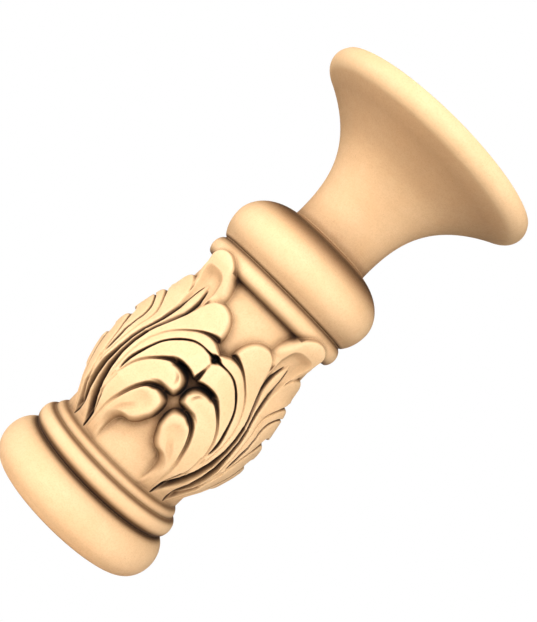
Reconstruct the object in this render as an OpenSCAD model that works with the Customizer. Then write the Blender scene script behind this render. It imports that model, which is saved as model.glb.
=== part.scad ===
// Carved stone baluster: a turned base with torus and bead, a barrel drum
// wrapped by four acanthus leaves, a bead and a cushion moulding, and a plain
// neck that flares to a round bearing plate. One block of stone, axis on Z,
// standing on its flat lower bed at Z = 0. The middle of the open panel
// between two leaves faces -Y.

/* [Overall] */
// Height from the lower bed to the upper bed
total_h = 600; // [420:10:840]
// Largest radius of the flared top, at full height 600
lip_r = 149; // [140:1:154]
// Radius of the neck at its slimmest
neck_r = 53; // [48:1:58]

/* [Base] */
// Largest radius of the base torus
base_r = 113.2; // [108:0.2:118]
// Largest radius of the bead above the base torus
bead_r = 100.9; // [99:0.1:103]
// Outer radius of the quarter-round under the drum
quarter_r = 92.3; // [90:0.1:94]

/* [Cushion] */
// Largest radius of the cushion moulding under the neck
cushion_r = 102.2; // [100:0.1:106]
// Largest radius of the thin bead under the cushion
collar_r = 96.8; // [95:0.1:99]

/* [Carving] */
// Radius of the plain drum at its foot
drum_foot_r = 85.5; // [84:0.1:86.5]
// Radius of the plain drum at its head
drum_head_r = 84.5; // [83:0.1:86]
// How far the drum swells between foot and head
drum_swell = 2; // [0:0.1:3]
// Height of the leaves over the drum, as a share of the full relief
relief = 1; // [0.8:0.05:1.05]

/* [Hidden] */
stone = [0.93, 0.83, 0.64];
k = total_h / 600;              // every length scales with the height
leaves = 4;
mid = 100 * PI / 4;             // arc distance from panel middle to leaf rib, on a radius of 100
z_drum = 96.7;                  // foot of the drum
z_collar = 328;                 // head of the drum
sink = 6;                       // how deep the carving is bedded in the drum

// ---- turned profile, radius and height -------------------------------
// points of a half-ellipse that bulges outwards, stepped by angle from a0 to a1
function arc(r, a, zc, b, a0, a1, n) =
    [for (i = [0:n]) let (w = a0 + (a1 - a0) * i / n) [r - a + a * cos(w), zc + b * sin(w)]];
// drum surface
function drum(z) = let (t = max(0, min(1, (z - z_drum) / (z_collar - z_drum))))
    drum_foot_r + (drum_head_r - drum_foot_r) * t + drum_swell * sin(180 * t);
// flare of the neck, t from 0 at the slimmest point to 1 under the lip
neck_z = 441;
flare_z = 134;
lip_c = 588.3;
lip_round = 17;
flare_r = lip_r - lip_round - neck_r + 11;
function flare(t) = neck_r + flare_r * (0.39 * t * t + 0.61 * pow(t, 3.6));

lower = concat(
    [[0, 0], [base_r - 18.6, 0]],
    arc(base_r, 22.7, 29, 29.5, -78, 79.4, 18),
    arc(bead_r, 8, 71, 12.4, -70, 70, 10),
    arc(quarter_r, 12.3, 84, 12.7, 3, 62, 5),
    [[60, 96.3], [0, 96.3]]
);
upper = concat(
    [[0, 329], [60, 329]],
    arc(collar_r, 9.3, 341.5, 13.2, -68, 68, 10),
    arc(cushion_r, 26, 386, 38, -52, 0, 7),
    [for (i = [1:12]) let (w = 80 * i / 12) [cushion_r - 56.9 + 56.9 * cos(w), 386 + 44.5 * sin(w)]],
    [[neck_r + 0.3, 430.6], [neck_r, neck_z - 5]],
    [for (i = [0:15]) let (t = 0.985 * i / 15) [flare(t), neck_z + flare_z * t]],
    [for (i = [0:9]) let (w = -60 + 101 * i / 9) [lip_r - lip_round + lip_round * cos(w), lip_c + lip_round * sin(w)]],
    [[lip_r - 4.7, 600], [0, 600]]
);
drum_line = concat([[0, 88]], [for (i = [0:3]) let (z = 88 + 246 * i / 3) [drum(z), z]], [[0, 334]]);

// ---- leaves ------------------------------------------------------------
// radius of the leaf surface near its outer tips and at its rib, by height
tip_r = [[94, 85], [105, 90], [116, 94.5], [133, 100], [150, 105.5], [165, 109.5], [176, 111.5],
         [205, 111], [230, 107.3], [256, 102], [277, 94.6], [300, 92], [314, 96], [330, 98.5], [346, 98]];
rib_r = [[94, 83.5], [104, 87.5], [116, 93.5], [133, 103.8], [150, 110.3], [167, 114], [188, 114.4],
         [205, 112.6], [220, 108.6], [241, 99], [263, 91.5], [279, 89.6], [300, 91], [314, 96], [330, 100], [346, 99]];
function blend(x) = let (t = max(0, min(1, (x - 15) / 52))) t * t * (3 - 2 * t);
function leaf_r(x, z) = let (r = lookup(z, tip_r) + (lookup(z, rib_r) - lookup(z, tip_r)) * blend(x))
    drum(z) + (r - drum(z)) * relief;

// Catmull-Rom through a spine of [arc distance, height, half-width, drop]
function at(p, i) = p[max(0, min(len(p) - 1, i))];
function spline(p, t) = let (i = min(floor(t), len(p) - 2), u = t - i,
    a = at(p, i - 1), b = at(p, i), c = at(p, i + 1), d = at(p, i + 2))
    0.5 * (2 * b + (c - a) * u + (2 * a - 5 * b + 4 * c - d) * u * u + (3 * b - a - 3 * c + d) * u * u * u);

// section across a tongue: share of the half-width, share of the relief
section = [[-1, -1], [-0.92, 0.55], [-0.45, 0.98], [0.45, 0.98], [0.92, 0.55], [1, -1]];

// one point of the carving, in space: arc distance x, height z, share h of the relief
function carve(x, z, h, drop) = let (top = leaf_r(x, z) - drop, low = drum(z),
    r = h < 0 ? low - sink : low + (top - low) * h, w = x * 180 / (100 * PI))
    [r * sin(w), -r * cos(w), z];

// a rounded tongue along a spine, n stations long, with a round tip
module tongue(p, n) {
    step = (len(p) - 1) / n;
    tip = p[0];
    fwd = spline(p, 0.05) - p[0];
    fl = norm([fwd[0], fwd[1]]);
    dir0 = [fwd[0], fwd[1]] / fl;
    caps = [for (a = [14, 50]) [tip[0] - dir0[0] * tip[2] * cos(a), tip[1] - dir0[1] * tip[2] * cos(a),
            tip[2] * sin(a), tip[3], dir0[0], dir0[1], 0.45 + 0.55 * sin(a)]];
    body = [for (i = [0:n]) let (q = spline(p, i * step), f = spline(p, min(len(p) - 1, i * step + 0.05))
            - spline(p, max(0, i * step - 0.05)), l = norm([f[0], f[1]]))
            [q[0], q[1], q[2], q[3], f[0] / l, f[1] / l, 1]];
    st = concat(caps, body);
    m = len(section);
    pts = [for (s = st) for (c = section)
        carve(s[0] - c[0] * s[2] * s[5], s[1] + c[0] * s[2] * s[4], c[1] < 0 ? -1 : c[1] * s[6], s[3])];
    e = len(st) - 1;
    polyhedron(pts, concat(
        [[for (j = [m - 1:-1:0]) j]],
        [for (i = [0:e - 1]) for (j = [0:m - 1]) let (a = i * m + j, b = i * m + (j + 1) % m) [a, b, a + m]],
        [for (i = [0:e - 1]) for (j = [0:m - 1]) let (a = i * m + j, b = i * m + (j + 1) % m) [b, b + m, a + m]],
        [[for (j = [0:m - 1]) e * m + j]]), convexity = 6);
}

// spines of the half-leaf, from each tip down to the foot of the leaf
scroll = [[19.5, 171, 16, 0], [22, 160, 17, 1], [30, 147, 16, 1], [39, 136, 11.5, 0.5], [44, 122, 10, 0.5], [47, 96, 10, 0.5]];
finger = [[18, 206, 13.5, 0], [31, 204, 14.5, 0], [45, 186, 13.5, 0], [53, 165, 12.5, 0], [57.5, 145, 9, 0.5], [58.5, 96, 3.5, 2]];
broad = [[9, 238, 11.5, 0], [20, 238.5, 12, 0], [32, 233, 12.5, 0], [45, 221, 8.5, 0], [54, 206, 5, 1], [61, 180, 2, 4]];
thin = [[7, 257.5, 5.5, 1], [20, 258, 7, 0], [33, 254, 7, 0], [46, 243.5, 7, 0], [57, 224, 6.2, 0], [64, 200, 4.5, 0], [66.5, 172, 3.2, 1], [66, 142, 2, 3]];
tongue5 = [[26, 282, 16, 0], [38, 278.5, 18.5, 0], [51, 266, 13, 0], [61, 248, 8, 0], [68, 230, 5.5, 0.5], [71, 205, 4, 1], [70, 175, 4, 1], [66, 142, 2, 3]];
rim = [[78.54, 330, 12.5, 0], [67, 327.5, 11.5, 0], [56, 319, 10, 0], [50.5, 304, 10, 0], [53, 282, 9, 0]];
hollow = [[77, 318, 10, 9], [71, 303, 13, 5], [68, 283, 11, 4], [68, 262, 8, 4], [71, 242, 5, 2.5]];
rib = [[78.54, 292, 2, 0], [78.54, 270, 3.2, 0], [78.54, 220, 3.2, 0], [78.54, 175, 3.4, 0], [78.54, 140, 4.4, 0], [78.54, 95, 6.8, 0]];

module half_leaf() {
    tongue(scroll, 6);
    tongue(finger, 6);
    tongue(broad, 5);
    tongue(thin, 7);
    tongue(tongue5, 7);
    tongue(rim, 4);
    tongue(hollow, 3);
}

module leaf() {
    half_leaf();
    rotate([0, 0, 90]) mirror([1, 0, 0]) half_leaf();
    tongue(rib, 5);
}

module turned_foot() {
    rotate_extrude($fn = 96) polygon(lower);
}

module turned_head() {
    rotate_extrude($fn = 96) polygon(upper);
}

// the drum with all its leaves, as one piece of carving
module carved_drum() {
    resize([0, 0, 0]) union() {
        rotate_extrude($fn = 40) polygon(drum_line);
        for (i = [0:leaves - 1]) rotate([0, 0, 90 * i]) leaf();
    }
}

module baluster() {
    color(stone) scale(k) union() {
        turned_foot();
        carved_drum();
        turned_head();
    }
}

baluster();
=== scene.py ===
import math
import bpy
import bmesh
import numpy as np
from mathutils import Matrix


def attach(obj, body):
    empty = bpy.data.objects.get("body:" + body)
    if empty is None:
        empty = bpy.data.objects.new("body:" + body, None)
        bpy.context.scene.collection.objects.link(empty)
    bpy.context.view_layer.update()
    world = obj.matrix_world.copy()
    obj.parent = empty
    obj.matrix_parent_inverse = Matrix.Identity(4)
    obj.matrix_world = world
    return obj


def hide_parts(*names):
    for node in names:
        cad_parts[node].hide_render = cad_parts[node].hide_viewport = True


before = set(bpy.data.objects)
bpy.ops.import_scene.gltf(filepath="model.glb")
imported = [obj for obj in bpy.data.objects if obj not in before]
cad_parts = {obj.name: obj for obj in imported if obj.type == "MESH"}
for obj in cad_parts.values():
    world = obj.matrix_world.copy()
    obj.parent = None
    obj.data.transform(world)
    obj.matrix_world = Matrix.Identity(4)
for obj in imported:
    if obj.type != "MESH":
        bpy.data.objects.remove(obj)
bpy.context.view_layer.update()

# ------------------------------------------------------------------ sizes, mm
NX = 160                      # columns of the carving over 45 degrees
DZ = 0.5                      # its row height
Z0, Z1 = 90.5, 350.5          # the carved belt
MID = 25 * math.pi            # arc distance from panel middle to leaf rib, at radius 100
RING = 16                     # columns of the turned parts over 45 degrees
SECTOR_TRIS = 19300           # triangles of one eighth of the carving


def arc(r, a, zc, b, w0, w1, n):
    w = np.radians(np.linspace(w0, w1, n + 1))
    return [(r - a + a * math.cos(t), zc + b * math.sin(t)) for t in w]


def flare(t):
    return 53 + 90 * (0.39 * t * t + 0.61 * t ** 3.6)


foot = ([(94.6, 0.0)] + arc(113.2, 22.7, 29, 29.5, -78, 77, 26) + [(95.0, 58.3), (94.7, 58.8), (95.1, 59.2)]
        + arc(100.9, 8, 71, 12.4, -68, 68, 14) + [(94.3, 82.9), (93.3, 83.5), (92.3, 84.1)]
        + arc(92.3, 12.3, 84, 12.7, 3, 62, 12))
head = (arc(96.8, 9.3, 341.5, 13.2, -68, 66, 20) + [(90.9, 353.9), (90.4, 354.6), (90.6, 355.4), (91.5, 355.9)]
        + arc(102.2, 26, 386, 38, -51, 0, 11) + arc(102.2, 56.9, 386, 44.5, 5, 78, 17)
        + [(54.6, 430.3), (53.5, 431.2), (53.15, 432.6), (53.0, 435.5)]
        + [(flare(t), 441 + 134 * t) for t in np.linspace(0, 0.98, 26)]
        + arc(149, 17, 588.3, 17, -60, 40, 12) + [(144.9, 599.7), (144.3, 600.0)])


def ground(z):
    t = np.clip((z - 96.7) / 231.3, 0, 1)
    return 85.5 - t + 2 * np.sin(math.pi * t)


def turned(z):
    """radius of the turned body at a height, carving left out"""
    f, h = np.array(foot), np.array(head)
    low = np.interp(z, f[:, 1], f[:, 0], right=0)
    top = np.interp(z, np.r_[329.0, h[:, 1]], np.r_[86.0, h[:, 0]], left=0)
    return np.maximum(np.where((z > 94) & (z < 340), ground(z), 0), np.maximum(low, top))


# ------------------------------------------------------------ carving, mm
TIP = np.array([[94, 85], [105, 90], [116, 94.5], [133, 100], [150, 105.5], [165, 109.5], [176, 111.5], [205, 111],
                [230, 107.3], [256, 102], [277, 94.6], [300, 92], [314, 96.5], [330, 100.5], [340, 101.5], [350, 101]])
RIB = np.array([[94, 83.5], [104, 87.5], [116, 93.5], [133, 103.8], [150, 110.3], [167, 114], [188, 114.4], [205, 112.6],
                [220, 108.6], [241, 99], [263, 91.5], [279, 89.6], [300, 91], [314, 96.5], [330, 101.5], [340, 102.5], [350, 102]])

SCROLL = [(36.4, 78), (36.4, 94.1), (37.4, 101.6), (38.5, 107.2), (39.5, 115.6), (39.2, 123.9), (37.4, 130.1),
          (34.3, 134.4), (31, 137.1), (26.1, 138.5), (21.8, 139.3), (16.9, 142.3), (12.1, 147.2), (8.4, 153.6),
          (4.4, 161), (2.9, 169.2), (2.9, 177), (5.6, 184), (12.4, 188.2), (20.1, 189.5), (25, 187.5), (29.9, 184),
          (33.8, 178.1), (37.4, 171), (41, 163), (44.4, 153.5), (47.7, 144.1), (50, 136.1), (52.2, 127.1), (54.6, 118),
          (57.5, 109.9), (59.3, 103.8), (60, 93.8), (60, 78)]
FINGER = [(8.6, 190.8), (3.4, 193.4), (1.2, 200.5), (1.9, 207.2), (5.2, 213.6), (10.4, 218), (16.6, 220), (21.7, 220.8),
          (26.7, 220.2), (31.6, 218.5), (36.6, 215.3), (41.5, 211.1), (45.4, 207.1), (49.4, 202.4), (53.3, 196.7),
          (56.5, 190.2), (58.7, 184.3), (60.2, 178.3), (60.9, 172.3), (61.8, 165.3), (63.3, 157.3), (64, 150.4),
          (64.3, 144.3), (63.2, 136.3), (62.2, 128.2), (61.6, 119), (61.3, 111.9), (61.8, 93.7), (61.8, 78), (57, 78),
          (57.9, 93.8), (56.5, 109.9), (53.6, 118), (51.2, 127.1), (49.1, 136.1), (46.8, 144.1), (43.4, 153.5),
          (40.1, 163), (36.4, 171), (32.8, 178.1), (29, 183.5), (24.1, 187.6), (19.1, 189.8)]
BROAD = [(-2.9, 241.1), (-1.5, 245.6), (1.5, 247.9), (4.9, 249.4), (9.7, 250.4), (15.6, 250.7), (21.5, 250.1),
         (27.6, 248.3), (32.8, 245.5), (38.2, 241.8), (43.4, 236.9), (48.4, 231.2), (51.9, 225), (53.8, 219.1),
         (55.9, 211.1), (57.5, 203.2), (59.6, 195.2), (61.1, 187.3), (61.6, 180.3), (61.1, 174.3), (60.4, 168.3),
         (57.1, 178.3), (54.2, 187.3), (51.1, 194.2), (47.8, 199.6), (43.8, 205.1), (40.6, 209.4), (36.6, 213.8),
         (32.6, 218.1), (27.6, 221.6), (21.7, 223.4), (14.8, 223.6), (8.9, 222.6), (4.5, 220.8), (0.5, 219.6),
         (-3, 221.5), (-4.5, 230), (-4, 237)]
THIN = [(-1.6, 256.8), (1.8, 259.6), (6.8, 262.1), (10.7, 264.1), (15.6, 265.1), (20.5, 265.3), (25.5, 264.5),
        (30.7, 262.9), (36.1, 260.3), (41.6, 256.8), (47.3, 252.4), (53, 247.4), (58.5, 241.4), (62.4, 234.8),
        (64.8, 228.5), (66.4, 221.6), (67.9, 213.1), (68.3, 205.2), (68.7, 195.3), (67.9, 185.3), (67, 175.4),
        (66.7, 165.4), (66.3, 155.4), (65.6, 143.3), (64.2, 130), (62.6, 116), (62.4, 130), (63.2, 145), (63.4, 160.3), (62.7, 170.4), (63.2, 180.3),
        (62.7, 188.3), (61.6, 196.2), (59.4, 204.2), (58.1, 212.1), (56.3, 219.6), (54.6, 226), (51.2, 232.4),
        (46.3, 238.7), (40.4, 243.9), (34.4, 248), (28.6, 250.9), (21.4, 252.6), (14.6, 252.9), (8.7, 253.1),
        (4, 253.9), (0.4, 254.6)]
TONGUE = [(10.5, 267.8), (9.2, 271.3), (9.6, 275.8), (11.2, 280.9), (13.9, 286.2), (18, 291.5), (23.3, 296), (29.1, 298.7),
          (35, 300), (40.4, 300.2), (45.2, 299), (51.2, 296.5), (57.9, 290), (62, 281.9), (65.5, 273.9), (68.1, 265.8),
          (71.6, 255.7), (75.6, 244.7), (77, 234.8), (77, 225), (77, 210.2), (77, 195.3), (76, 180.4),
          (73, 168.4), (69.6, 155.4), (66.8, 141), (64.4, 128), (64.6, 141), (65.6, 155.3), (66, 170.4), (66, 185.3),
          (66.4, 200.2), (65.8, 211.1), (63.7, 220.1), (62, 227.4), (59.4, 233.4), (55.9, 239), (51, 244.8),
          (45.5, 249.9), (39.8, 254.5), (34.4, 258.5), (29.1, 261.7), (24.5, 264.1), (19.5, 265.9), (14.6, 266.4)]
CURL_FOOT = [(56, 286), (47, 293), (42.5, 299), (42.2, 304), (42.9, 309), (44.5, 314), (47.4, 320.2), (50.8, 326.2),
             (53.4, 331.6), (58, 337.4), (64, 341.8), (70.8, 344.6), (78.54, 345.6)]
HOLLOW = [(78.54, 322), (72, 321.8), (65.8, 320.4), (60.7, 316.9), (58.8, 311), (58.6, 303), (59, 295), (60, 285),
          (61.6, 274.9), (64.9, 264.8), (67.1, 256.7), (69.5, 247.7), (72, 238.7), (73.1, 229.9), (73.8, 221)]
SLIT = np.array([[98, 63.8, 0], [100, 64.5, 1.3], [110, 65.8, 2.8], [120, 68, 3.8], [130, 69.5, 4.1], [140, 70.6, 3.9],
                 [150, 71.6, 3.4], [160, 72.2, 2.9], [170, 73, 2.2], [180, 74.2, 1.5], [190, 75, 1.0], [200, 75.2, 0.8],
                 [210, 75.2, 0.8], [220, 75.4, 0.8], [230, 75.2, 1.0], [240, 73.6, 1.2], [250, 71.8, 1.4], [260, 70.2, 1.8],
                 [270, 69.3, 2.0], [280, 69.5, 1.8], [290, 71.8, 1.1], [297, 74, 0]])
RIB_W = np.array([[94, 12], [100, 11.3], [110, 9], [120, 5.9], [130, 4.3], [140, 3.7], [150, 3.2], [160, 3], [190, 2.7],
                  [220, 2.4], [240, 3.6], [250, 5.0], [262, 6.8], [274, 7.4], [284, 6.6], [294, 4.2], [303, 2]])
RIB_R = np.array([[94, 84], [104, 86.8], [116, 93], [133, 103.8], [150, 110.3], [167, 114.1], [188, 114.4], [205, 112.8],
                  [220, 108.6], [241, 98.8], [263, 90.8], [279, 89.3], [295, 88.4], [305, 87]])

xs = np.linspace(0, MID, NX + 1)
zs = np.arange(Z0 - 14, Z1 + 14 + DZ / 2, DZ)
X, Z = np.meshgrid(xs, zs)
G = ground(Z)


def smooth(t):
    t = np.clip(t, 0, 1)
    return t * t * (3 - 2 * t)


def tab(z, t, c=1):
    return np.interp(z, t[:, 0], t[:, c])


def rounded(t, p=0.75):
    return np.sin(np.clip(t, 0, 1) * math.pi / 2) ** p


# the ground swells a little between the scrolls
G = G + 7 * smooth((28 - X) / 12) * smooth((Z - 138) / 38) * smooth((208 - Z) / 14)
E = tab(Z, TIP) + (tab(Z, RIB) - tab(Z, TIP)) * smooth((X - 15) / 52)


def spline(p, closed=True, n=5):
    """Catmull-Rom curve through points"""
    p = np.array(p, float)
    if closed:
        a, b, c, d = np.roll(p, 1, 0), p, np.roll(p, -1, 0), np.roll(p, -2, 0)
    else:
        q = np.vstack([2 * p[0] - p[1], p, 2 * p[-1] - p[-2]])
        a, b, c, d = q[:-3], q[1:-2], q[2:-1], q[3:]
    out = []
    for u in np.arange(n) / n:
        out.append(0.5 * (2 * b + (c - a) * u + (2 * a - 5 * b + 4 * c - d) * u * u + (3 * b - a - 3 * c + d) * u ** 3))
    out = np.stack(out, 1).reshape(-1, p.shape[1])
    return out if closed else np.vstack([out, p[-1:]])


def mirrored(p):
    """outline on the left of the rib, closed by its mirror image on the right"""
    p = np.array(p, float)
    q = p[::-1].copy()
    q[:, 0] = 2 * MID - q[:, 0]
    if abs(p[0, 0] - MID) < 0.01:
        q = q[:-1]
    if abs(p[-1, 0] - MID) < 0.01:
        q = q[1:]
    return np.vstack([p, q])


def box_of(p, pad):
    c = np.where((xs > p[:, 0].min() - pad) & (xs < p[:, 0].max() + pad))[0]
    r = np.where((zs > p[:, 1].min() - pad) & (zs < p[:, 1].max() + pad))[0]
    return (slice(r[0], r[-1] + 1), slice(c[0], c[-1] + 1)) if len(c) and len(r) else None


def near(p, q, px, pz):
    """distance from grid points to the segment p-q, and how far along it the nearest point is"""
    dx, dz = q[0] - p[0], q[1] - p[1]
    t = np.clip(((px - p[0]) * dx + (pz - p[1]) * dz) / max(dx * dx + dz * dz, 1e-9), 0, 1)
    return (px - p[0] - t * dx) ** 2 + (pz - p[1] - t * dz) ** 2, t


def depth_in(p):
    """how far inside a closed outline each grid point lies; negative outside"""
    p = spline(p)
    e = np.full(X.shape, -99.0)
    s = box_of(p, 1)
    if s is None:
        return e
    px, pz = X[s], Z[s]
    best = np.full(px.shape, 1e9)
    odd = np.zeros(px.shape, bool)
    for a, b in zip(p, np.roll(p, -1, 0)):
        best = np.minimum(best, near(a, b, px, pz)[0])
        if a[1] != b[1]:
            hit = ((a[1] > pz) != (b[1] > pz)) & (px < a[0] + (pz - a[1]) * (b[0] - a[0]) / (b[1] - a[1]))
            odd ^= hit
    e[s] = np.where(odd, np.sqrt(best), -np.sqrt(best))
    return e


def along(p):
    """distance to an open line, and the line's further columns at the nearest point"""
    p = spline(p, False)
    d = np.full(X.shape, 99.0)
    v = np.zeros(X.shape + (p.shape[1] - 2,))
    s = box_of(p, 12)
    px, pz = X[s], Z[s]
    best = np.full(px.shape, 1e9)
    val = np.zeros(px.shape + (p.shape[1] - 2,))
    for a, b in zip(p[:-1], p[1:]):
        q, t = near(a, b, px, pz)
        m = q < best
        best = np.where(m, q, best)
        w = a[2:] + (b - a)[2:] * t[..., None]
        val = np.where(m[..., None], w, val)
    d[s] = np.sqrt(best)
    v[s] = val
    return d, v


def lobe(p, b, shift=0.0, power=0.5, crease=None, swell=None, steep=None):
    """one lobe; where a lower lobe lies over it along the crease line it runs on underneath and dips"""
    e = depth_in(p)
    surf = E + shift
    if crease is not None:
        d, v = along(crease)
        surf = surf - v[..., 0] * (1 - smooth(d / (1.0 + 0.38 * v[..., 0])))
        e = e + 4 * (1 - smooth((d - 1) / 4))
    if swell is not None:
        d = along(swell)[0]
        e = e + 1.8 * (1 - smooth((d - 1) / 3))
        b = b + (1.8 - b) * (1 - smooth((d - 4) / 6))
    if steep is not None:
        b = b + (2.8 - b) * (1 - smooth((along(steep)[0] - 3) / 3)) * smooth((X - 22) / 10)
    return np.where(e > 0, G + (surf - G) * rounded(e / b, power), 0), e


def web(p, w=7.0):
    """floor of a crease: line of [x, z, how deep it lies under the leaf]"""
    d, v = along(p)
    return np.where(d < w, G + (E - v[..., 0] - G) * rounded(1.25 * (1 - d / w)), 0)


def groove(R, p):
    """hollow line of [x, z, half-width, depth]"""
    d, v = along(p)
    w = np.maximum(v[..., 0], 0.1)
    return R - v[..., 1] * np.clip(1 - (d / w) ** 2, 0, 1) ** 1.5


def cleft(R, p):
    """open cut along a line of [x, z, half-width, depth]"""
    d, v = along(p)
    w, h = v[..., 0], v[..., 1]
    return np.where((d < 3 * w + 1) & (w > 0.05),
                    np.minimum(R, E - h + (h + 4) * np.clip((d - 0.45 * w) / (0.8 * w + 0.3), 0, 1)), R)


R = np.zeros_like(X)
C12 = [(18, 189.6, 11), (25, 187.6, 8.5), (30, 183.8, 6), (34, 177.6, 4.7), (37.8, 170, 4.0), (41.2, 161.6, 3.4),
       (44.6, 152, 2.7), (47.8, 143.4, 1.9), (50.2, 134.4, 1.4), (52.6, 124.4, 1.1), (55.2, 115.4, 0.9), (58, 106, 0.8),
       (60, 95, 0.7), (60, 78, 0.6)]
C23 = [(30, 219.2, 10), (36.6, 214.6, 5.8), (42.4, 209, 3.7), (47.4, 203.4, 2.5), (52, 196.6, 2.1), (55.8, 188.4, 1.8),
       (58.8, 178.6, 1.5), (61, 169, 1.3), (62.6, 160, 1.2), (64.2, 150, 1.2), (64.2, 142, 1.2)]
C45 = [(13, 266.4, 12), (20, 266, 8), (29, 262.8, 5), (37.4, 258, 3.4), (45.4, 252.4, 2.4), (52.6, 246.4, 1.9),
       (58.6, 239.6, 1.6), (62.6, 231.8, 1.4), (65, 223, 1.3), (66.8, 212, 1.2), (67.4, 200, 1.2), (67.3, 185, 1.2),
       (66.6, 165, 1.2), (66, 143, 1.2)]
C34 = [(0, 251.0, 2.0, 10), (4, 251.4, 1.4, 10), (8.5, 251.7, 0.8, 9), (15, 251.8, 0.45, 5.5), (21, 251.4, 0.4, 5.5),
       (28, 249.7, 0.4, 5.5), (33.8, 247.0, 0.4, 5.5), (39.4, 243.1, 0.4, 5.5), (44.9, 238.0, 0.4, 5.5), (49.8, 231.9, 0.45, 5.5),
       (53.4, 225.5, 0.5, 8), (55.4, 219.4, 0.6, 8), (57.2, 211.6, 0.8, 8), (58.8, 203.7, 1.1, 9), (60.8, 195.7, 1.3, 9),
       (62.0, 187.8, 1.3, 9), (62.4, 180.3, 0.9, 7), (62.2, 174, 0.4, 3), (61.9, 170, 0.1, 0)]
r1, e1 = lobe(SCROLL, np.interp(Z, [98, 130, 150], [8.0, 6.8, 6.2]), power=0.7, steep=C12)
r2, e2 = lobe(FINGER, 6.2 - 2.4 * smooth((X - 30) / 8) + 2.6 * smooth((204 - Z) / 10) * smooth((34 - X) / 12), power=0.72, crease=C12, steep=C23)
r3, e3 = lobe(BROAD, 4.6, crease=C23, swell=C34)
r3m, _ = lobe([(-x, z) for x, z in BROAD], 4.6, swell=C34)
r4, e4 = lobe(THIN, 3.0, -0.3, swell=C34)
r4m, _ = lobe([(-x, z) for x, z in THIN], 3.0, -0.3)
r5, e5 = lobe(TONGUE, 4.6 + 2.2 * smooth((30 - X) / 12) * smooth((292 - Z) / 10), power=0.8, crease=C45)
rc, ec = lobe(mirrored(CURL_FOOT), np.interp(Z, [318, 334], [10.5, 4.5]), power=0.72)
for q in (r1, r2, r3, r3m, r4, r4m, r5, rc, web([(61.2, 190, 3), (61.6, 178, 1.8), (61.6, 170, 1.4), (62.8, 158, 1.2), (64.8, 146, 1.5), (64.6, 132, 2.6),
               (63.8, 118, 5), (63.2, 108, 10)], 6.5),
          web(C45[9:] + [(65, 130, 2.8), (64, 118, 5), (63.4, 108, 10)], 4.0)):
    R = np.maximum(R, q)
# hollow under the curled tip, sloping down to the rib
eh = depth_in(mirrored(HOLLOW))
deep = np.interp(Z, [215, 222, 240, 260, 285, 300, 310, 322], [1, 2, 4, 4.2, 3.4, 4.4, 6.4, 7.6])
wide = np.interp(Z, [222, 285, 305, 322], [5.0, 7.0, 10, 12.5])
R = np.where(eh > 0, E - deep * rounded(eh / wide, 1.0), R)
# dish and groove of the scroll, curl mark of the finger
dish = np.clip(1 - ((X - 23) / 12) ** 2 - ((Z - 167) / 13) ** 2, 0, 1)
R = R - np.where(e1 > 0, 2.6 * dish ** 1.5, 0)
R = groove(R, [(23, 161, 4.5, 0), (26.5, 155, 4.5, 1.5), (33, 147, 4.5, 1.5), (39, 136, 4.2, 1.3), (43.4, 122, 4, 1.1),
               (45, 110, 3.6, 0.9), (46, 98, 3, 0.4)])
R = groove(R, [(22, 215.0, 1.3, 0), (17, 213.4, 1.8, 1.3), (13.6, 210.6, 1.9, 1.6), (11.8, 207, 1.8, 1.4),
               (11.2, 202.6, 1.3, 0.2)])
# open slit between the broad and the thin lobe, and the pit where the tips meet
R = cleft(R, C34)
R = groove(R, [(0, 241, 1.0, 0), (0, 236, 1.6, 2.5), (0, 230, 2.4, 7), (0, 224, 3.2, 12), (0, 219, 3.6, 14)])
R = R - 6 * np.exp(-(X / 4.5) ** 2 - ((Z - 251.6) / 3) ** 2)
# rib, then the deep slit on its side
wr = tab(Z, RIB_W)
dr = MID - X
rib = np.where(dr < wr, G + (tab(Z, RIB_R) - G) * np.sqrt(np.clip(1 - (dr / wr) ** 2, 0, 1)) ** 0.6, 0)
R = np.maximum(R, np.where(Z < 306, rib, 0))
ws = tab(Z, SLIT, 2)
ds = np.abs(X - tab(Z, SLIT, 1))
low_cut = np.maximum(np.where(Z > 235, E - 9, 81), E - 7 - 5 * np.minimum(ws, 4))
cut = low_cut + (E + 6 - low_cut) * np.clip((ds - 0.45 * ws) / (0.75 * ws + 0.25), 0, 1) + np.where(ws < 0.02, 99, 0)
R = np.minimum(np.maximum(R, ground(Z)), np.maximum(cut, 79))
R = np.maximum(np.where(np.abs(ds) < ws + 1, R, np.maximum(R, G)), np.where((Z < 96.8) | (Z > 328.5), turned(Z), 0))


def blur(a, s):
    """Gaussian blur, s in grid steps; the carving mirrors itself at both sides"""
    n = int(3 * s) + 1
    k = np.exp(-0.5 * (np.arange(-n, n + 1) / s) ** 2)
    k /= k.sum()
    p = np.pad(a, ((n, n), (0, 0)), mode="edge")
    a = sum(k[i] * p[i:i + a.shape[0]] for i in range(2 * n + 1))
    p = np.pad(a, ((0, 0), (n, n)), mode="reflect")
    return sum(k[i] * p[:, i:i + a.shape[1]] for i in range(2 * n + 1))


R = blur(R, 1.0)
CAV = np.stack([blur(R, s / DZ) - R for s in (1.0, 2.5, 6.0)], -1)

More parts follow.
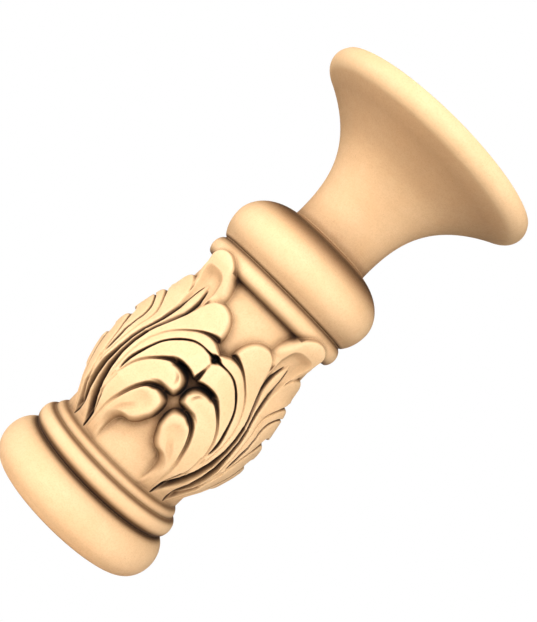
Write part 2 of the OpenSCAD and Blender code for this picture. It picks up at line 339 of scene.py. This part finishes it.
# ------------------------------------------------------------ one eighth of the carving, thinned out where it is flat
rows = np.where((zs > Z0 - 1e-6) & (zs < Z1 + 1e-6))[0]
nz = len(rows)
co = np.zeros((nz, NX + 1, 3))
co[..., 0] = X[rows]
co[..., 1] = -R[rows]
co[..., 2] = Z[rows]
verts = co.reshape(-1, 3)
idx = np.arange(nz * (NX + 1)).reshape(nz, NX + 1)
a, b, c, d = idx[:-1, :-1].ravel(), idx[:-1, 1:].ravel(), idx[1:, 1:].ravel(), idx[1:, :-1].ravel()
flip = ((co[:-1, :-1, 1] - co[1:, 1:, 1]) ** 2 < (co[:-1, 1:, 1] - co[1:, :-1, 1]) ** 2).ravel()
tris = np.vstack([np.where(flip[:, None], np.c_[a, b, c], np.c_[a, b, d]),
                  np.where(flip[:, None], np.c_[a, c, d], np.c_[b, c, d])])
# turned rows just below and above the belt, with few columns, joined by fans
step = NX // RING
edge = {}
for name, row, zz in (("low", 0, Z0 - 0.7), ("top", nz - 1, Z1 + 0.7)):
    base = len(verts)
    ring = np.zeros((RING + 1, 3))
    ring[:, 0] = xs[::step]
    ring[:, 1] = -turned(np.full(RING + 1, zz))
    ring[:, 2] = zz
    verts = np.vstack([verts, ring])
    edge[name] = np.arange(base, base + RING + 1)
    fan = []
    for i in range(RING):
        mid = i * step + step // 2
        lo_, hi_ = base + i, base + i + 1
        for j in range(i * step, (i + 1) * step):
            k = lo_ if j < mid else hi_
            fan.append((k, idx[row, j + 1], idx[row, j]))
        fan.append((lo_, hi_, idx[row, mid]))
    fan = np.array(fan)
    if name == "top":
        fan = fan[:, ::-1]
    tris = np.vstack([tris, fan])

th_ = verts[:, 0] / 100
space = np.c_[-verts[:, 1] * np.sin(th_), verts[:, 1] * np.cos(th_), verts[:, 2]]
me = bpy.data.meshes.new("sector")
me.from_pydata(space.tolist(), [], tris.tolist())
ob = bpy.data.objects.new("sector", me)
bpy.context.scene.collection.objects.link(ob)
free = np.ones(len(verts), bool)
free[idx[:, 0]] = False
free[idx[:, -1]] = False
free[edge["low"]] = False
free[edge["top"]] = False
vg = ob.vertex_groups.new(name="free")
vg.add(np.where(free)[0].tolist(), 1.0, "REPLACE")
mod = ob.modifiers.new("thin", "DECIMATE")
mod.ratio = SECTOR_TRIS / len(tris)
mod.vertex_group = "free"
dg = bpy.context.evaluated_depsgraph_get()
ev = ob.evaluated_get(dg)
em = ev.to_mesh()
sv = np.zeros(len(em.vertices) * 3)
em.vertices.foreach_get("co", sv)
sv = sv.reshape(-1, 3)
em.calc_loop_triangles()
st = np.zeros(len(em.loop_triangles) * 3, int)
em.loop_triangles.foreach_get("vertices", st)
st = st.reshape(-1, 3)
ev.to_mesh_clear()
bpy.data.objects.remove(ob)
bpy.data.meshes.remove(me)
sv = np.c_[100 * np.arctan2(sv[:, 0], -sv[:, 1]), -np.hypot(sv[:, 0], sv[:, 1]), sv[:, 2]]

# ------------------------------------------------------------ whole piece
pts, fac = [], []
n = 0
for k in range(4):
    for s in (1, -1):
        th = k * math.pi / 2 + s * sv[:, 0] / 100
        pts.append(np.c_[-sv[:, 1] * np.sin(th), sv[:, 1] * np.cos(th), sv[:, 2]])
        fac.append((st if s > 0 else st[:, ::-1]) + n)
        n += len(sv)
cols = 8 * RING
th = np.arange(cols) * 2 * math.pi / cols


def ring_of(r, z):
    return np.c_[r * np.sin(th), -r * np.cos(th), np.full(cols, z)]


def turn(prof):
    """rings through the profile points, upwards"""
    global n
    m = len(prof)
    pts.append(np.vstack([ring_of(r, z) for r, z in prof]))
    i = np.arange(cols)
    j = (i + 1) % cols
    for q in range(m - 1):
        a, b = n + q * cols, n + (q + 1) * cols
        fac.append(np.vstack([np.c_[a + i, a + j, b + j], np.c_[a + i, b + j, b + i]]))
    n += m * cols


def cap(prof, r, z, up):
    """flat bed: a plain disc inside the outermost ring"""
    global n
    pts.append(np.vstack([ring_of(r - 1.2, z), ring_of(r * 0.62, z), ring_of(r * 0.25, z), [[0, 0, z]]]))
    o = n
    i = np.arange(cols)
    j = (i + 1) % cols
    loops = [prof, o, o + cols, o + 2 * cols]
    f = []
    for a, b in zip(loops[:-1], loops[1:]):
        f += [np.c_[a + i, a + j, b + j], np.c_[a + i, b + j, b + i]]
    f.append(np.c_[o + 2 * cols + i, o + 2 * cols + j, np.full(cols, o + 3 * cols)])
    f = np.vstack(f)
    fac.append(f if up else f[:, ::-1])
    n += 3 * cols + 1


low_prof = [p for p in foot if p[1] < Z0 - 1.0] + [(float(turned(np.array(Z0 - 0.7))), Z0 - 0.7)]
top_prof = [(float(turned(np.array(Z1 + 0.7))), Z1 + 0.7)] + [p for p in head if p[1] > Z1 + 1.0]
start = n
turn(low_prof)
cap(start, 94.6, 0.0, False)
start = n
turn(top_prof)
cap(start + (len(top_prof) - 1) * cols, 144.3, 600.0, True)
V = np.vstack(pts)
F = np.vstack(fac)
mesh = bpy.data.meshes.new("baluster_stone")
mesh.from_pydata(V.tolist(), [], F.tolist())
bm = bmesh.new()
bm.from_mesh(mesh)
bmesh.ops.remove_doubles(bm, verts=bm.verts, dist=0.004)
bmesh.ops.dissolve_degenerate(bm, dist=0.0005, edges=bm.edges)
bmesh.ops.triangulate(bm, faces=bm.faces)
bmesh.ops.recalc_face_normals(bm, faces=bm.faces)
open_edges = sum(1 for e in bm.edges if not e.is_manifold)
bm.to_mesh(mesh)
bm.free()
V = np.zeros(len(mesh.vertices) * 3)
mesh.vertices.foreach_get("co", V)
V = V.reshape(-1, 3)

# how hollow the surface is, kept with each vertex; the material paints a highlight on the convex edges from it
zl = np.arange(-40, 660, DZ)
rl = turned(np.clip(zl, 0.0, 600))
prof_cav = []
for s in (1.0, 2.5, 6.0):
    m = int(3 * s / DZ) + 1
    k = np.exp(-0.5 * (np.arange(-m, m + 1) * DZ / s) ** 2)
    prof_cav.append(np.convolve(np.pad(rl, m, mode="edge"), k / k.sum(), "valid") - rl)
ang = np.arctan2(V[:, 0], -V[:, 1])
ang = np.abs((ang + math.pi / 4) % (math.pi / 2) - math.pi / 4)
gx = np.clip(ang * 100 / MID * NX, 0, NX - 1e-6)
gz = np.clip((V[:, 2] - zs[0]) / DZ, 0, len(zs) - 1 - 1e-6)
ix, iz = gx.astype(int), gz.astype(int)
fx, fz = gx - ix, gz - iz


def pick(a):
    return (a[iz, ix] * (1 - fx) * (1 - fz) + a[iz, ix + 1] * fx * (1 - fz)
            + a[iz + 1, ix] * (1 - fx) * fz + a[iz + 1, ix + 1] * fx * fz)


belt = (V[:, 2] > Z0) & (V[:, 2] < Z1)
bed = (V[:, 2] < 0.01) | (V[:, 2] > 599.99)
rad = np.hypot(V[:, 0], V[:, 1])
cav = [np.where(belt, pick(CAV[..., i]), np.interp(V[:, 2], zl, prof_cav[i])) for i in range(3)]
cav = [np.where(bed, 0, q) for q in cav]
hollow = np.clip(cav[0] * 0.55 + cav[1] * 0.30 + cav[2] * 0.10, -1, 4)
at = mesh.attributes.new("hollow", "FLOAT", "POINT")
at.data.foreach_set("value", hollow.astype(np.float32))
mesh.transform(Matrix.Scale(0.001, 4))
mesh.shade_smooth()
mesh.update()
stone = bpy.data.objects.new("baluster_stone", mesh)
bpy.context.scene.collection.objects.link(stone)
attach(stone, "root")
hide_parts("baluster")
print("triangles", len(mesh.polygons), "open edges", open_edges)


# ------------------------------------------------------------ stone
# powers of the painted ambient-occlusion shade at wide, middle and near range
WIDE_SHADE = 1.1
MID_SHADE = 0.7
NEAR_SHADE = 1.7
# painted shade in the quirks and under the ledges of the turned parts, darkening the colour in bands by height:
# height in mm, how far it spreads below and above, how dark it is
SHADE_BANDS = [(9, 6, 9, 0.2),         # foot of the base
        (62.5, 2.5, 4, 0.85),   # between base and bead
        (83, 2.5, 3, 0.65),     # between bead and cove
        (95.5, 2, 3, 0.6),      # foot of the drum
        (330, 4.5, 5, 0.7),     # under the collar
        (350, 3, 2, 0.3),       # over the collar
        (362, 2.5, 12, 0.3),    # under the cushion
        (426, 15, 1.5, 0.9),    # over the cushion
        (563, 45, 16, 0.45)]    # under the lip


def band_shade_at(z):
    k = 1.0
    for c, below, above, dark in SHADE_BANDS:
        k *= 1 - dark * math.exp(-((z - c) / (below if z < c else above)) ** 2)
    return k


def material():
    m = bpy.data.materials.new("warm_sandstone")
    m.use_nodes = True
    nt = m.node_tree
    nt.nodes.clear()
    N = nt.nodes.new
    L = nt.links.new

    def val(x):
        v = N("ShaderNodeValue")
        v.outputs[0].default_value = x
        return v.outputs[0]

    def math_(op, a, b=None, c=None, clamp=False):
        k = N("ShaderNodeMath")
        k.operation = op
        k.use_clamp = clamp
        for i, q in enumerate((a, b, c)):
            if q is None:
                continue
            if isinstance(q, (int, float)):
                k.inputs[i].default_value = q
            else:
                L(q, k.inputs[i])
        return k.outputs[0]

    def noise(scale, detail=4, rough=0.55, vec=None):
        k = N("ShaderNodeTexNoise")
        k.inputs["Scale"].default_value = scale
        k.inputs["Detail"].default_value = detail
        k.inputs["Roughness"].default_value = rough
        L(vec if vec is not None else tc.outputs["Object"], k.inputs["Vector"])
        return k.outputs["Fac"]

    def mix(f, a, b, kind="MIX"):
        k = N("ShaderNodeMix")
        k.data_type = "RGBA"
        k.blend_type = kind
        k.clamp_factor = True
        for s, q in ((0, f), (6, a), (7, b)):
            if isinstance(q, (int, float)):
                k.inputs[s].default_value = q
            elif isinstance(q, tuple):
                k.inputs[s].default_value = (*q, 1)
            else:
                L(q, k.inputs[s])
        return k.outputs[2]

    def remap(x, a, b, lo=0.0, hi=1.0):
        k = N("ShaderNodeMapRange")
        k.inputs[1].default_value = a
        k.inputs[2].default_value = b
        k.inputs[3].default_value = lo
        k.inputs[4].default_value = hi
        L(x, k.inputs[0])
        return k.outputs[0]

    def attr(name):
        k = N("ShaderNodeAttribute")
        k.attribute_name = name
        return k.outputs["Fac"]

    tc = N("ShaderNodeTexCoord")
    hol = attr("hollow")
    sep = N("ShaderNodeSeparateXYZ")
    L(tc.outputs["Object"], sep.inputs[0])
    high = sep.outputs[2]
    rr = math_("SQRT", math_("ADD", math_("MULTIPLY", sep.outputs[0], sep.outputs[0]),
                             math_("MULTIPLY", sep.outputs[1], sep.outputs[1])))
    # the carving stands proud of the drum and of the collar
    on_drum = math_("MULTIPLY", math_("GREATER_THAN", high, 0.0972), math_("LESS_THAN", high, 0.3286))
    on_collar = math_("MULTIPLY", math_("GREATER_THAN", high, 0.3285), math_("LESS_THAN", high, 0.351))
    carv = math_("ADD", math_("MULTIPLY", on_drum, remap(rr, 0.0885, 0.0910)),
                 math_("MULTIPLY", on_collar, remap(rr, 0.0972, 0.0990)), clamp=True)
    # bedding of the stone: the noise is stretched along the bed
    mp = N("ShaderNodeMapping")
    mp.inputs["Scale"].default_value = (1, 1, 3.2)
    mp.inputs["Rotation"].default_value = (0.12, 0.07, 0.3)
    L(tc.outputs["Object"], mp.inputs["Vector"])
    beds = noise(9, 5, 0.6, mp.outputs[0])
    blotch = noise(26, 4, 0.6)
    mottle = noise(120, 4, 0.65)
    grain = noise(560, 3, 0.6)
    fine = noise(2600, 2, 0.6)
    base = mix(remap(beds, 0.35, 0.65), (0.86, 0.56, 0.30), (0.93, 0.62, 0.345))
    base = mix(remap(blotch, 0.42, 0.72, 0, 0.35), base, (0.90, 0.53, 0.255))
    base = mix(remap(mottle, 0.40, 0.70, 0, 0.26), base, (0.80, 0.50, 0.265))
    base = mix(remap(grain, 0.46, 0.66, 0, 0.34), base, (0.72, 0.43, 0.22))
    base = mix(remap(fine, 0.55, 0.75, 0, 0.12), base, (0.97, 0.70, 0.42))
    # painted highlight: convex edges are painted paler
    edge_highlight = remap(hol, -0.12, -0.55, 0, 0.30)
    base = mix(edge_highlight, base, (0.98, 0.71, 0.42))
    # pores
    vor = N("ShaderNodeTexVoronoi")
    vor.inputs["Scale"].default_value = 230
    L(tc.outputs["Object"], vor.inputs["Vector"])
    pore = math_("MULTIPLY", remap(vor.outputs["Distance"], 0.16, 0.07), remap(noise(55, 2), 0.52, 0.62), clamp=True)
    base = mix(math_("MULTIPLY", pore, 0.35), base, (0.42, 0.24, 0.12))
    # painted shade: ambient occlusion darkens the colour where the stone is sheltered, browner the deeper it lies
    def occlusion_shade(dist, power):
        k = N("ShaderNodeAmbientOcclusion")
        k.samples = 12
        k.only_local = True
        k.inputs["Distance"].default_value = dist
        return math_("POWER", k.outputs["AO"], power)

    painted_shade = math_("MULTIPLY", occlusion_shade(0.2, WIDE_SHADE), occlusion_shade(0.010, NEAR_SHADE), clamp=True)
    painted_shade = math_("MULTIPLY", painted_shade, occlusion_shade(0.035, MID_SHADE))
    # painted shade bands by height, applied to the turned parts and kept off the carving
    fc = N("ShaderNodeFloatCurve")
    cv = fc.mapping.curves[0]
    steps = {0.0, 600.0}
    for c, below, above, dark in SHADE_BANDS:
        steps |= {min(max(c + t * (below if t < 0 else above), 0), 600) for t in (-2.2, -1.5, -1, -0.5, 0, 0.5, 1, 1.5, 2.2)}
    steps = sorted(steps)
    cv.points[0].location = (0, band_shade_at(0))
    cv.points[1].location = (1, band_shade_at(600))
    for z in steps[1:-1]:
        cv.points.new(z / 600, band_shade_at(z))
    for pt in cv.points:
        pt.handle_type = "VECTOR"
    fc.mapping.update()
    L(math_("DIVIDE", high, 0.6), fc.inputs["Value"])
    band_shade = math_("MAXIMUM", fc.outputs[0], carv)
    painted_shade = math_("MULTIPLY", painted_shade, band_shade)
    # painted shade turns browner as it darkens: blue falls fastest, red slowest
    shade_tint = N("ShaderNodeCombineColor")
    for i, power in enumerate((1.0, 1.15, 1.3)):
        L(math_("POWER", painted_shade, power), shade_tint.inputs[i])
    base = mix(1.0, base, shade_tint.outputs[0], "MULTIPLY")
    bsdf = N("ShaderNodeBsdfPrincipled")
    L(base, bsdf.inputs["Base Color"])
    rough = math_("ADD", remap(mottle, 0.3, 0.7, 0.56, 0.72), math_("MULTIPLY", remap(hol, 0.0, 1.2), 0.2))
    rough = math_("ADD", rough, remap(grain, 0.35, 0.65, -0.05, 0.05), clamp=True)
    L(rough, bsdf.inputs["Roughness"])
    bsdf.inputs["Specular IOR Level"].default_value = 0.32
    # bump: grain, pores, and the faint rings left by turning
    zz = math_("ADD", math_("MULTIPLY", sep.outputs[2], 2600.0), math_("MULTIPLY", noise(14, 2), 5.0))
    rings = math_("MULTIPLY", math_("SINE", zz), remap(noise(60, 3), 0.40, 0.65))
    rings = math_("MULTIPLY", rings, math_("SUBTRACT", 1.0, carv, clamp=True))
    h = math_("ADD", math_("MULTIPLY", grain, 0.9), math_("MULTIPLY", fine, 0.45))
    h = math_("ADD", h, math_("MULTIPLY", mottle, 1.2))
    h = math_("ADD", h, math_("MULTIPLY", rings, 0.12))
    h = math_("SUBTRACT", h, math_("MULTIPLY", pore, 0.8))
    bump = N("ShaderNodeBump")
    bump.inputs["Strength"].default_value = 0.35
    bump.inputs["Distance"].default_value = 0.0006
    L(h, bump.inputs["Height"])
    L(bump.outputs[0], bsdf.inputs["Normal"])
    out = N("ShaderNodeOutputMaterial")
    L(bsdf.outputs[0], out.inputs[0])
    return m


mesh.materials.append(material())

# ------------------------------------------------------------ studio
scene = bpy.context.scene
scene.view_settings.view_transform = "Standard"
world = bpy.data.worlds.new("studio")
scene.world = world
world.use_nodes = True
wn = world.node_tree
wn.nodes.clear()
lp = wn.nodes.new("ShaderNodeLightPath")
bg_seen = wn.nodes.new("ShaderNodeBackground")
bg_seen.inputs[0].default_value = (1, 1, 1, 1)
bg_seen.inputs[1].default_value = 1.0
bg_light = wn.nodes.new("ShaderNodeBackground")
bg_light.inputs[0].default_value = (1.0, 0.97, 0.93, 1)
bg_light.inputs[1].default_value = 0.06
mx = wn.nodes.new("ShaderNodeMixShader")
wo = wn.nodes.new("ShaderNodeOutputWorld")
wn.links.new(lp.outputs["Is Camera Ray"], mx.inputs[0])
wn.links.new(bg_light.outputs[0], mx.inputs[1])
wn.links.new(bg_seen.outputs[0], mx.inputs[2])
wn.links.new(mx.outputs[0], wo.inputs[0])

fm = bpy.data.meshes.new("floor")
fm.from_pydata([(-6, -6, 0), (6, -6, 0), (6, 6, 0), (-6, 6, 0)], [], [(0, 1, 2, 3)])
floor = bpy.data.objects.new("floor", fm)
scene.collection.objects.link(floor)
mat = bpy.data.materials.new("pale_floor")
mat.use_nodes = True
fn = mat.node_tree
fn.nodes.clear()
flp = fn.nodes.new("ShaderNodeLightPath")
fd = fn.nodes.new("ShaderNodeBsdfDiffuse")
fd.inputs[0].default_value = (0.82, 0.81, 0.79, 1)
fe = fn.nodes.new("ShaderNodeEmission")
fe.inputs[0].default_value = (1, 1, 1, 1)
fe.inputs[1].default_value = 1.0
fx_ = fn.nodes.new("ShaderNodeMixShader")
fo = fn.nodes.new("ShaderNodeOutputMaterial")
fn.links.new(flp.outputs["Is Camera Ray"], fx_.inputs[0])
fn.links.new(fd.outputs[0], fx_.inputs[1])
fn.links.new(fe.outputs[0], fx_.inputs[2])
fn.links.new(fx_.outputs[0], fo.inputs[0])
fm.materials.append(mat)


def area(name, loc, target, size, energy, color=(1, 1, 1)):
    la = bpy.data.lights.new(name, "AREA")
    la.shape = "SQUARE"
    la.size = size
    la.energy = energy
    la.color = color
    o = bpy.data.objects.new(name, la)
    scene.collection.objects.link(o)
    o.location = loc
    v = Matrix.Translation(loc).inverted() @ Matrix.Translation(target)
    d = v.to_translation()
    o.rotation_euler = d.to_track_quat("-Z", "Y").to_euler()
    o.visible_camera = False
    return o


mid = (0, 0, 0.3)
# from the camera side and a little above, from the left, from overhead, and weakly from the right
area("front", (0.0, -2.05, 1.05), mid, 1.0, 43)
area("left", (-2.175, -0.33, 0.3), mid, 1.0, 39)
area("overhead", (0.0, -1.14, 2.18), mid, 1.0, 17)
area("right", (2.165, -0.353, 0.466), mid, 1.0, 10)

cam = bpy.data.cameras.new("camera")
cam.sensor_width = 36
cam.lens = 1125 / 622 * 36
cam.shift_x = 17.7 / 622
cam.shift_y = 13.4 / 622
camera = bpy.data.objects.new("camera", cam)
scene.collection.objects.link(camera)
s = math.sqrt(0.5)
camera.matrix_world = Matrix(((s, -s, 0, 0.0), (0, 0, -1, -1.288), (s, s, 0, 0.304), (0, 0, 0, 1)))
scene.camera = camera
